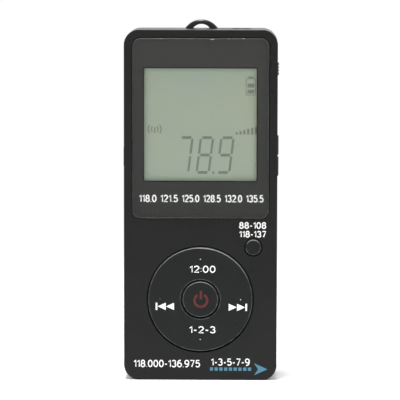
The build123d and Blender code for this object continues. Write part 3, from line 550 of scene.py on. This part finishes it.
# Each figure is its width and the middle lines of its strokes, one unit high.
SIX = [oval(0.27, 0.30, 0.27, 0.30, 0, 360), oval(0.34, 0.40, 0.34, 0.60, 180, 72)]
GLYPHS = {
    "0": (0.54, [oval(0.27, 0.50, 0.27, 0.50, 0, 360)]),
    "1": (0.24, [[(0.0, 0.76), (0.24, 1.0), (0.24, 0.0)]]),
    "2": (0.52, [oval(0.26, 0.72, 0.25, 0.28, 165, -30) + [(0.0, 0.0), (0.52, 0.0)]]),
    "3": (0.52, [oval(0.25, 0.75, 0.23, 0.25, 155, -90), oval(0.25, 0.26, 0.27, 0.26, 90, -155)]),
    "4": (0.56, [[(0.42, 0.0), (0.42, 1.0), (0.0, 0.30), (0.56, 0.30)]]),
    "5": (0.52, [[(0.48, 1.0), (0.09, 1.0), (0.04, 0.52)],
                 oval(0.25, 0.31, 0.27, 0.31, 135, -150)]),
    "6": (0.54, SIX),
    "7": (0.52, [[(0.0, 1.0), (0.52, 1.0), (0.17, 0.0)]]),
    "8": (0.54, [oval(0.27, 0.76, 0.22, 0.24, 0, 360), oval(0.27, 0.26, 0.27, 0.26, 0, 360)]),
    "9": (0.54, [[(0.54 - x, 1.0 - z) for x, z in path] for path in SIX]),
    "-": (0.28, [[(0.0, 0.40), (0.28, 0.40)]]),
    ".": (0.0, [[(0.0, -0.03), (0.0, 0.03)]]),
    ":": (0.0, [[(0.0, 0.12), (0.0, 0.18)], [(0.0, 0.60), (0.0, 0.66)]]),
}
GLYPH_GAP = 0.25
GLYPH_STROKE = 0.34            # mm


def numerals(name, text, centre, size, face, material, stroke=GLYPH_STROKE):
    """Plain figures drawn with round strokes, size = (width, height) in mm around centre."""
    origin, facing, body, slot = face
    paths, width = [], 0.0
    for sign in text:
        sign_width, strokes = GLYPHS[sign]
        paths += [[(width + x, z) for x, z in path] for path in strokes]
        width += sign_width + GLYPH_GAP
    width -= GLYPH_GAP
    wide, tall = (size[0] - stroke) / width, size[1] - stroke
    curve = bpy.data.curves.new(name, "CURVE")
    curve.dimensions = "3D"
    curve.bevel_depth = stroke / 2 * MM
    curve.bevel_resolution = 1
    curve.use_fill_caps = True
    for path in paths:
        spline = curve.splines.new("POLY")
        spline.points.add(len(path) - 1)
        for point, (x, z) in zip(spline.points, path):
            point.co = ((centre[0] + (x - width / 2) * wide) * MM,
                        (centre[1] + (z - 0.5) * tall) * MM, 0.0, 1.0)
    flat = Matrix.Diagonal((1.0, 1.0, PRINT_THICKNESS / (stroke * MM), 1.0))
    lift = Matrix.Translation((0, 0, PRINT_THICKNESS / 2))
    place = Matrix.Translation(origin) @ FACING[facing] @ lift @ flat
    finish_piece(name, to_mesh(name, curve, place), body, material)


# ---- lens: printed border, dial numbers and the painted shade round it, in mm ---------
WINDOW_SIZE = (32.25, 32.25)
WINDOW_CENTRE = (-0.1, 73.72)
WINDOW_CORNER = 0.25
WINDOW_LINE = 0.27             # width of the thin black line round the window
WINDOW_LINE_CORNER = 0.45
BORDER_INSET = 0.05            # from the edge of the lens to the edge of the ink
BORDER_CORNER = 2.25
BORDER_DEPTH = 0.012 * MM      # from the back of the lens to the back of the ink
DIAL_DEPTH = 0.030 * MM        # the same for the dial numbers and the black line
BORDER_FACE = front_face(LENS_HIGH.y - BORDER_DEPTH, "body", "lens")
DIAL_FACE = front_face(LENS_HIGH.y - DIAL_DEPTH, "body", "lens")
DIAL = ("118.0", "121.5", "125.0", "128.5", "132.0", "135.5")
DIAL_LEFT, DIAL_RIGHT = -17.7, 18.1
DIAL_SIZE = (5.1, 2.2)         # of one number
DIAL_STROKE = 0.38
DIAL_Z = 52.5
GAP_SHADE_INNER, GAP_SHADE_OUTER = 0.01, 0.26      # from the edge of the lens to the two edges of the black strip of painted shade in the gap
GAP_SHADE_INNER_CORNER, GAP_SHADE_OUTER_CORNER = 2.31, 2.54
GAP_SHADE_DEPTH = 0.30 * MM         # from the front of the case to the back of the painted shade strip
GAP_SHADE_THICKNESS = 0.1 * MM
GAP_SHADE_FACE = front_face(CASE_FRONT + GAP_SHADE_DEPTH, "body", "tape")


def make_lens_print():
    """The ink behind the lens with its window, and a black strip in the gap round the lens:
    painted shade that darkens the gap.
    """
    width = (LENS_HIGH.x - LENS_LOW.x) / MM
    height = (LENS_HIGH.z - LENS_LOW.z) / MM
    middle = (0.0, (LENS_HIGH.z + LENS_LOW.z) / 2 / MM)

    def round_lens(growth, corner):
        return rectangle(middle, width + 2 * growth, height + 2 * growth, corner)

    window = rectangle(WINDOW_CENTRE, *WINDOW_SIZE, WINDOW_CORNER)
    line = rectangle(WINDOW_CENTRE, WINDOW_SIZE[0] + 2 * WINDOW_LINE,
                     WINDOW_SIZE[1] + 2 * WINDOW_LINE, WINDOW_LINE_CORNER)
    flat_piece("lens_border", [round_lens(-BORDER_INSET, BORDER_CORNER), window],
               BORDER_FACE, BORDER)
    flat_piece("window_edge", [line, window], DIAL_FACE, BLACK)
    # A black strip in the gap round the lens: painted shade.
    flat_piece("lens_gap_shade", [round_lens(GAP_SHADE_OUTER, GAP_SHADE_OUTER_CORNER),
                             round_lens(GAP_SHADE_INNER, GAP_SHADE_INNER_CORNER)],
               GAP_SHADE_FACE, BLACK, thickness=GAP_SHADE_THICKNESS)


def make_dial():
    """A row of frequencies under the window."""
    number_width = DIAL_SIZE[0]
    step = (DIAL_RIGHT - DIAL_LEFT - number_width) / (len(DIAL) - 1)
    for index, text in enumerate(DIAL):
        centre = (DIAL_LEFT + number_width / 2 + index * step, DIAL_Z)
        numerals("dial_" + text, text, centre, DIAL_SIZE, DIAL_FACE, WHITE, DIAL_STROKE)


# ---- display: figures and signs on the front polariser, in mm -------------------------
FILM_LIFT = 0.004 * MM
FILM_THICKNESS = 0.008 * MM
FILM_FACE = front_face(POLARISER_FRONT - FILM_LIFT, "body", "film")
SEGMENTS = {"7": "abc", "8": "abcdefg", "9": "abcdfg"}
DIGIT_LEFT = -7.05             # the lower left end of the first figure
DIGIT_BASE_Z = 59.95
DIGIT_PITCH = 5.88
DIGIT_WIDTH = 3.46             # between the middles of the upright strokes
DIGIT_HEIGHT = 10.0
DIGIT_STROKE = 0.64
DIGIT_BAR = 0.82
DIGIT_GAP = 0.36
DIGIT_SLANT = 0.125
POINT_CENTRE = (3.62, 59.9)
POINT_SIZE = 0.62
GAUGE_CENTRE = (14.3, 84.55)
GAUGE_SIZE = (2.9, 4.9)
GAUGE_STROKE = 0.2
GAUGE_CAP_SIZE = (1.5, 0.4)
GAUGE_CAP_RISE = 2.75          # this and the next two from the middle of the gauge
GAUGE_LOW_BAR = -1.35
GAUGE_HIGH_BAR = 0.35
GAUGE_BAR_SIZE = (1.9, 1.1)
AERIAL_CENTRE = (-13.2, 72.35)
MAST_LOW, MAST_HIGH = -1.2, 0.55
MAST_STROKE = 0.34
WAVES = ((0.95, 50), (1.85, 40))         # radius and half the angle of each pair of waves
WAVE_STROKE = 0.32
BARS_COUNT = 6
BARS_LEFT, BARS_Z = 10.3, 70.9
BARS_PITCH = 1.1
BARS_STROKE = 0.62
BARS_FIRST = 0.6               # height of the first bar
BARS_GROWTH = 0.32             # what each next one is higher


def segment_outlines(figure, left):
    """The lit strokes of one seven-stroke figure, leaning to the right."""
    w, h, gap = DIGIT_WIDTH, DIGIT_HEIGHT / 2, DIGIT_GAP
    strokes = {"a": ((gap, 2 * h), (w - gap, 2 * h)), "b": ((w, 2 * h - gap), (w, h + gap)),
               "c": ((w, h - gap), (w, gap)), "d": ((gap, 0), (w - gap, 0)),
               "e": ((0, gap), (0, h - gap)), "f": ((0, h + gap), (0, 2 * h - gap)),
               "g": ((gap, h), (w - gap, h))}
    outlines = []
    for key in SEGMENTS[figure]:
        start, end = strokes[key]
        stroke = DIGIT_BAR if key in "adg" else DIGIT_STROKE
        outlines.append([(left + x + DIGIT_SLANT * z, DIGIT_BASE_Z + z)
                         for x, z in bar(start, end, stroke)])
    return outlines


def show(name, outlines):
    flat_piece("display_" + name, outlines, FILM_FACE, SEGMENT, thickness=FILM_THICKNESS)


def make_display_figures():
    for index, figure in enumerate("789"):
        show("figure_" + figure, segment_outlines(figure, DIGIT_LEFT + index * DIGIT_PITCH))
    show("point", [rectangle(POINT_CENTRE, POINT_SIZE, POINT_SIZE)])


def make_battery_gauge():
    """An outline with a cap on top and two bars inside."""
    x, z = GAUGE_CENTRE
    width, height = GAUGE_SIZE
    show("gauge", [rectangle(GAUGE_CENTRE, width, height, 0.5),
                   rectangle(GAUGE_CENTRE, width - 2 * GAUGE_STROKE,
                             height - 2 * GAUGE_STROKE, 0.35)])
    show("gauge_cap", [rectangle((x, z + GAUGE_CAP_RISE), *GAUGE_CAP_SIZE)])
    show("gauge_bars", [rectangle((x, z + GAUGE_LOW_BAR), *GAUGE_BAR_SIZE, 0.25),
                        rectangle((x, z + GAUGE_HIGH_BAR), *GAUGE_BAR_SIZE, 0.1)])


def make_signal_signs():
    """An aerial with waves at the left of the display, strength bars at the right."""
    x, z = AERIAL_CENTRE
    mast = bar((x, z + MAST_LOW), (x, z + MAST_HIGH), MAST_STROKE)
    waves = [bow(AERIAL_CENTRE, radius, side - spread, side + spread, WAVE_STROKE)
             for radius, spread in WAVES for side in (0, 180)]
    show("aerial", [mast] + waves)
    bars = []
    for index in range(BARS_COUNT):
        foot = (BARS_LEFT + BARS_PITCH * index, BARS_Z)
        top = (foot[0], BARS_Z + BARS_FIRST + BARS_GROWTH * index)
        bars.append(bar(foot, top, BARS_STROKE))
    show("strength", bars)


# ---- signs on the keys and the case, in mm --------------------------------------------
RING_DOT_HEIGHT = 0.14 * MM    # the ring's lowest y is on its raised dots
RING_FACE = front_face(RING_LOW.y + RING_DOT_HEIGHT - PRINT_LIFT, "ring", "keys")
DOT_LIFT = 0.002 * MM
DOT_FACE = front_face(RING_LOW.y - DOT_LIFT, "ring", "keys")
DOT_REACH = 11.6               # from the middle of the ring to its dots
DOT_RADIUS = 0.12
SIGN_HEIGHT = 2.1              # of the numbers and arrows on the ring
ARROW_BACKS = (-2.0, 0.4)      # the upright edges of the two heads of a double arrow
ARROW_LENGTH = 2.35
ARROW_STOP = 3.05              # the middle of the bar that the arrows point at
ARROW_STOP_WIDTH = 0.5
POWER_FACE = front_face(POWER_FRONT - PRINT_LIFT, "power", "keys")
POWER_SIGN = (0.15, 23.15)
POWER_SIGN_RADIUS = 1.82
POWER_SIGN_STROKE = 0.72
POWER_SIGN_OPENING = 60        # degrees, at the top
POWER_BAR_RISE = 1.60          # from the middle of the sign to the middle of its bar
POWER_BAR_LENGTH = 2.5
CASE_FACE = front_face(CASE_FRONT - PRINT_LIFT, "body", "case")
RIGHT_FACE = (Vector((CASE_HIGH.x + PRINT_LIFT, 0, 0)), "right", "body", "case")
LEFT_FACE = (Vector((CASE_LOW.x - PRINT_LIFT, 0, 0)), "left", "body", "case")
TOP_FACE = (Vector((0, 0, CASE_HIGH.z + PRINT_LIFT)), "top", "body", "case")
SQUARES_COUNT = 9
SQUARES_LEFT, SQUARES_Z = 3.25, 3.22
SQUARES_PITCH = 1.37
SQUARE_SIZE = (0.92, 0.95)
SIDE_SIGN_Y = -5.4             # between the front edge and the side keys
FINE_STROKE = 0.22


def make_ring_signs():
    """Numbers above and below the power key, double arrows against a bar beside it."""
    numerals("ring_time", "12:00", (0.62, 32.2), (7.5, SIGN_HEIGHT), RING_FACE, WHITE)
    numerals("ring_memory", "1-2-3", (0.60, 14.65), (7.6, SIGN_HEIGHT), RING_FACE, WHITE)
    for name, x, z, way in (("previous", -9.55, 21.4, -1), ("next", 10.15, 21.2, 1)):
        heads = [triangle((x + way * (back + ARROW_LENGTH), z), x + way * back, SIGN_HEIGHT)
                 for back in ARROW_BACKS]
        stop = rectangle((x + way * ARROW_STOP, z), ARROW_STOP_WIDTH, SIGN_HEIGHT)
        flat_piece("ring_" + name, heads + [stop], RING_FACE, WHITE)


def make_ring_dot_highlights():
    """Caps on the raised dots that mark the ring's four directions: painted highlights on the
    dots' tops, all white but the left one, which keeps the key colour as its highlight is faint.
    """
    for name, turn, material in (("up", 90, WHITE), ("right", 0, WHITE), ("down", 270, WHITE),
                                 ("left", 180, KEYS)):
        centre = (RING_X / MM + DOT_REACH * cos(radians(turn)),
                  RING_Z / MM + DOT_REACH * sin(radians(turn)))
        flat_piece("ring_dot_highlight_" + name, [circle(centre, DOT_RADIUS, steps=16)], DOT_FACE, material)


def make_power_sign():
    """A ring that is open at the top, with an upright bar in the opening."""
    x, z = POWER_SIGN
    start = 90 + POWER_SIGN_OPENING / 2
    ring = bow(POWER_SIGN, POWER_SIGN_RADIUS, start, start + 360 - POWER_SIGN_OPENING,
               POWER_SIGN_STROKE, steps=40)
    upright = rectangle((x, z + POWER_BAR_RISE), POWER_SIGN_STROKE, POWER_BAR_LENGTH, 0.12)
    flat_piece("power_sign", [ring], POWER_FACE, RED)
    flat_piece("power_sign_bar", [upright], POWER_FACE, RED)


def make_case_signs():
    """Frequencies over the round key, two scales and blue marks along the bottom."""
    for name, text, centre, size in (
            ("band_low", "88-108", (14.98, 44.88), (7.8, 2.0)),
            ("band_high", "118-137", (14.98, 42.36), (7.8, 1.95)),
            ("left_scale", "118.000-136.975", (-9.62, 4.75), (19.2, 2.2)),
            ("right_scale", "1-3-5-7-9", (8.69, 5.25), (11.2, 2.15))):
        numerals(name, text, centre, size, CASE_FACE, WHITE)
    squares = [rectangle((SQUARES_LEFT + SQUARES_PITCH * index, SQUARES_Z), *SQUARE_SIZE)
               for index in range(SQUARES_COUNT)]
    flat_piece("blue_squares", squares, CASE_FACE, BLUE)
    tip, upper, notch, lower = (19.4, 3.2), (15.5, 4.95), (16.7, 3.2), (15.5, 1.45)
    flat_piece("blue_pointer", [[tip, upper, notch, lower]], CASE_FACE, BLUE)


def middle_height(node):
    low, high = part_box(node)
    return (low.z + high.z) / 2 / MM


def make_volume_signs():
    """A plus and a minus on the right wall, in front of their keys."""
    length, stroke = 1.7, 0.4
    up = (SIDE_SIGN_Y, middle_height("volume_up_key"))
    down = (SIDE_SIGN_Y, middle_height("volume_down_key"))
    flat_piece("volume_plus", [plus(up, length, stroke)], RIGHT_FACE, WHITE)
    flat_piece("volume_minus", [rectangle(down, length, stroke)], RIGHT_FACE, WHITE)


def make_lock_sign():
    """A padlock in front of the lock slider, at the middle of its slot."""
    half_travel = 0.8
    z = middle_height("lock_knob") + half_travel
    box = rectangle((SIDE_SIGN_Y, z - 0.35), 1.5, 1.1, 0.1)
    shackle = bow((SIDE_SIGN_Y, z + 0.2), 0.5, 0, 180, FINE_STROKE)
    flat_piece("lock_sign", [box, shackle], RIGHT_FACE, WHITE)


def make_lamp_sign():
    """A lamp with eight rays on the left wall, in front of the light key."""
    lamp_radius, ray_start, ray_end, ray_stroke = 0.5, 0.75, 1.1, 0.2
    x, z = -SIDE_SIGN_Y, middle_height("light_key")
    rays = [bar((x + ray_start * cos(turn), z + ray_start * sin(turn)),
                (x + ray_end * cos(turn), z + ray_end * sin(turn)), ray_stroke)
            for turn in (k * pi / 4 for k in range(8))]
    flat_piece("lamp_sign", [circle((x, z), lamp_radius)] + rays, LEFT_FACE, WHITE)


def make_headset_sign():
    """Two ear pads and a band, on the top beside the earphone socket."""
    low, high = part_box("socket_collar")
    x = low.x / MM - 2.2
    y = (low.y + high.y) / 2 / MM
    half_width = 0.9
    band = bow((x, y - 0.3), half_width, 0, 180, FINE_STROKE)
    pads = [rectangle((x + side * half_width, y - 0.6), 0.5, 0.8, 0.1) for side in (-1, 1)]
    flat_piece("headset_sign", [band] + pads, TOP_FACE, GREY)


# ---- stage: floor, light and camera, in metres ----------------------------------------
def make_floor():
    half = FLOOR_SIZE / 2
    mesh = bpy.data.meshes.new("floor")
    mesh.from_pydata([(-half, -half, 0), (half, -half, 0), (half, half, 0), (-half, half, 0)],
                     [], [(0, 1, 2, 3)])
    mesh.materials.append(floor_paper("floor_paper"))
    floor = bpy.data.objects.new("floor", mesh)
    bpy.context.scene.collection.objects.link(floor)


def add_softbox(name, place, width, height, power, spread=180.0):
    """A rectangular light that is aimed at the object."""
    light = bpy.data.lights.new(name, "AREA")
    light.shape = "RECTANGLE"
    light.size = width
    light.size_y = height
    light.energy = power
    light.spread = radians(spread)
    lamp = bpy.data.objects.new(name, light)
    bpy.context.scene.collection.objects.link(lamp)
    lamp.location = place
    lamp.rotation_euler = (LIGHT_TARGET - Vector(place)).to_track_quat("-Z", "Y").to_euler()


def make_light():
    world = bpy.data.worlds.new("studio")
    world.use_nodes = True
    back = world.node_tree.nodes["Background"]
    back.inputs["Color"].default_value = (1.0, 1.0, 1.0, 1.0)
    back.inputs["Strength"].default_value = WORLD_STRENGTH
    bpy.context.scene.world = world
    add_softbox("overhead", (-0.08, -0.13, 1.3), width=0.40, height=0.20, power=0.36,
                spread=22.0)
    add_softbox("left_fill", (-1.2, -0.9, 0.9), width=0.5, height=0.5, power=1.5)
    bpy.context.scene.view_settings.view_transform = "Standard"


def make_camera():
    azimuth, elevation = radians(CAMERA_AZIMUTH), radians(CAMERA_ELEVATION)
    away = Vector((sin(azimuth) * cos(elevation), -cos(azimuth) * cos(elevation),
                   sin(elevation)))
    data = bpy.data.cameras.new("camera")
    data.sensor_width = CAMERA_SENSOR
    data.lens = CAMERA_LENS
    data.clip_start = CAMERA_NEAR
    camera = bpy.data.objects.new("camera", data)
    bpy.context.scene.collection.objects.link(camera)
    look = (-away).to_track_quat("-Z", "Y").to_matrix().to_4x4()
    camera.matrix_world = (Matrix.Translation(CAMERA_TARGET + away * CAMERA_DISTANCE) @ look
                           @ Matrix.Rotation(radians(CAMERA_ROLL), 4, "Z"))
    bpy.context.scene.camera = camera


make_lens_print()
make_dial()
make_display_figures()
make_battery_gauge()
make_signal_signs()
make_ring_signs()
make_ring_dot_highlights()
make_power_sign()
make_case_signs()
make_volume_signs()
make_lock_sign()
make_lamp_sign()
make_headset_sign()
make_floor()
make_light()
make_camera()
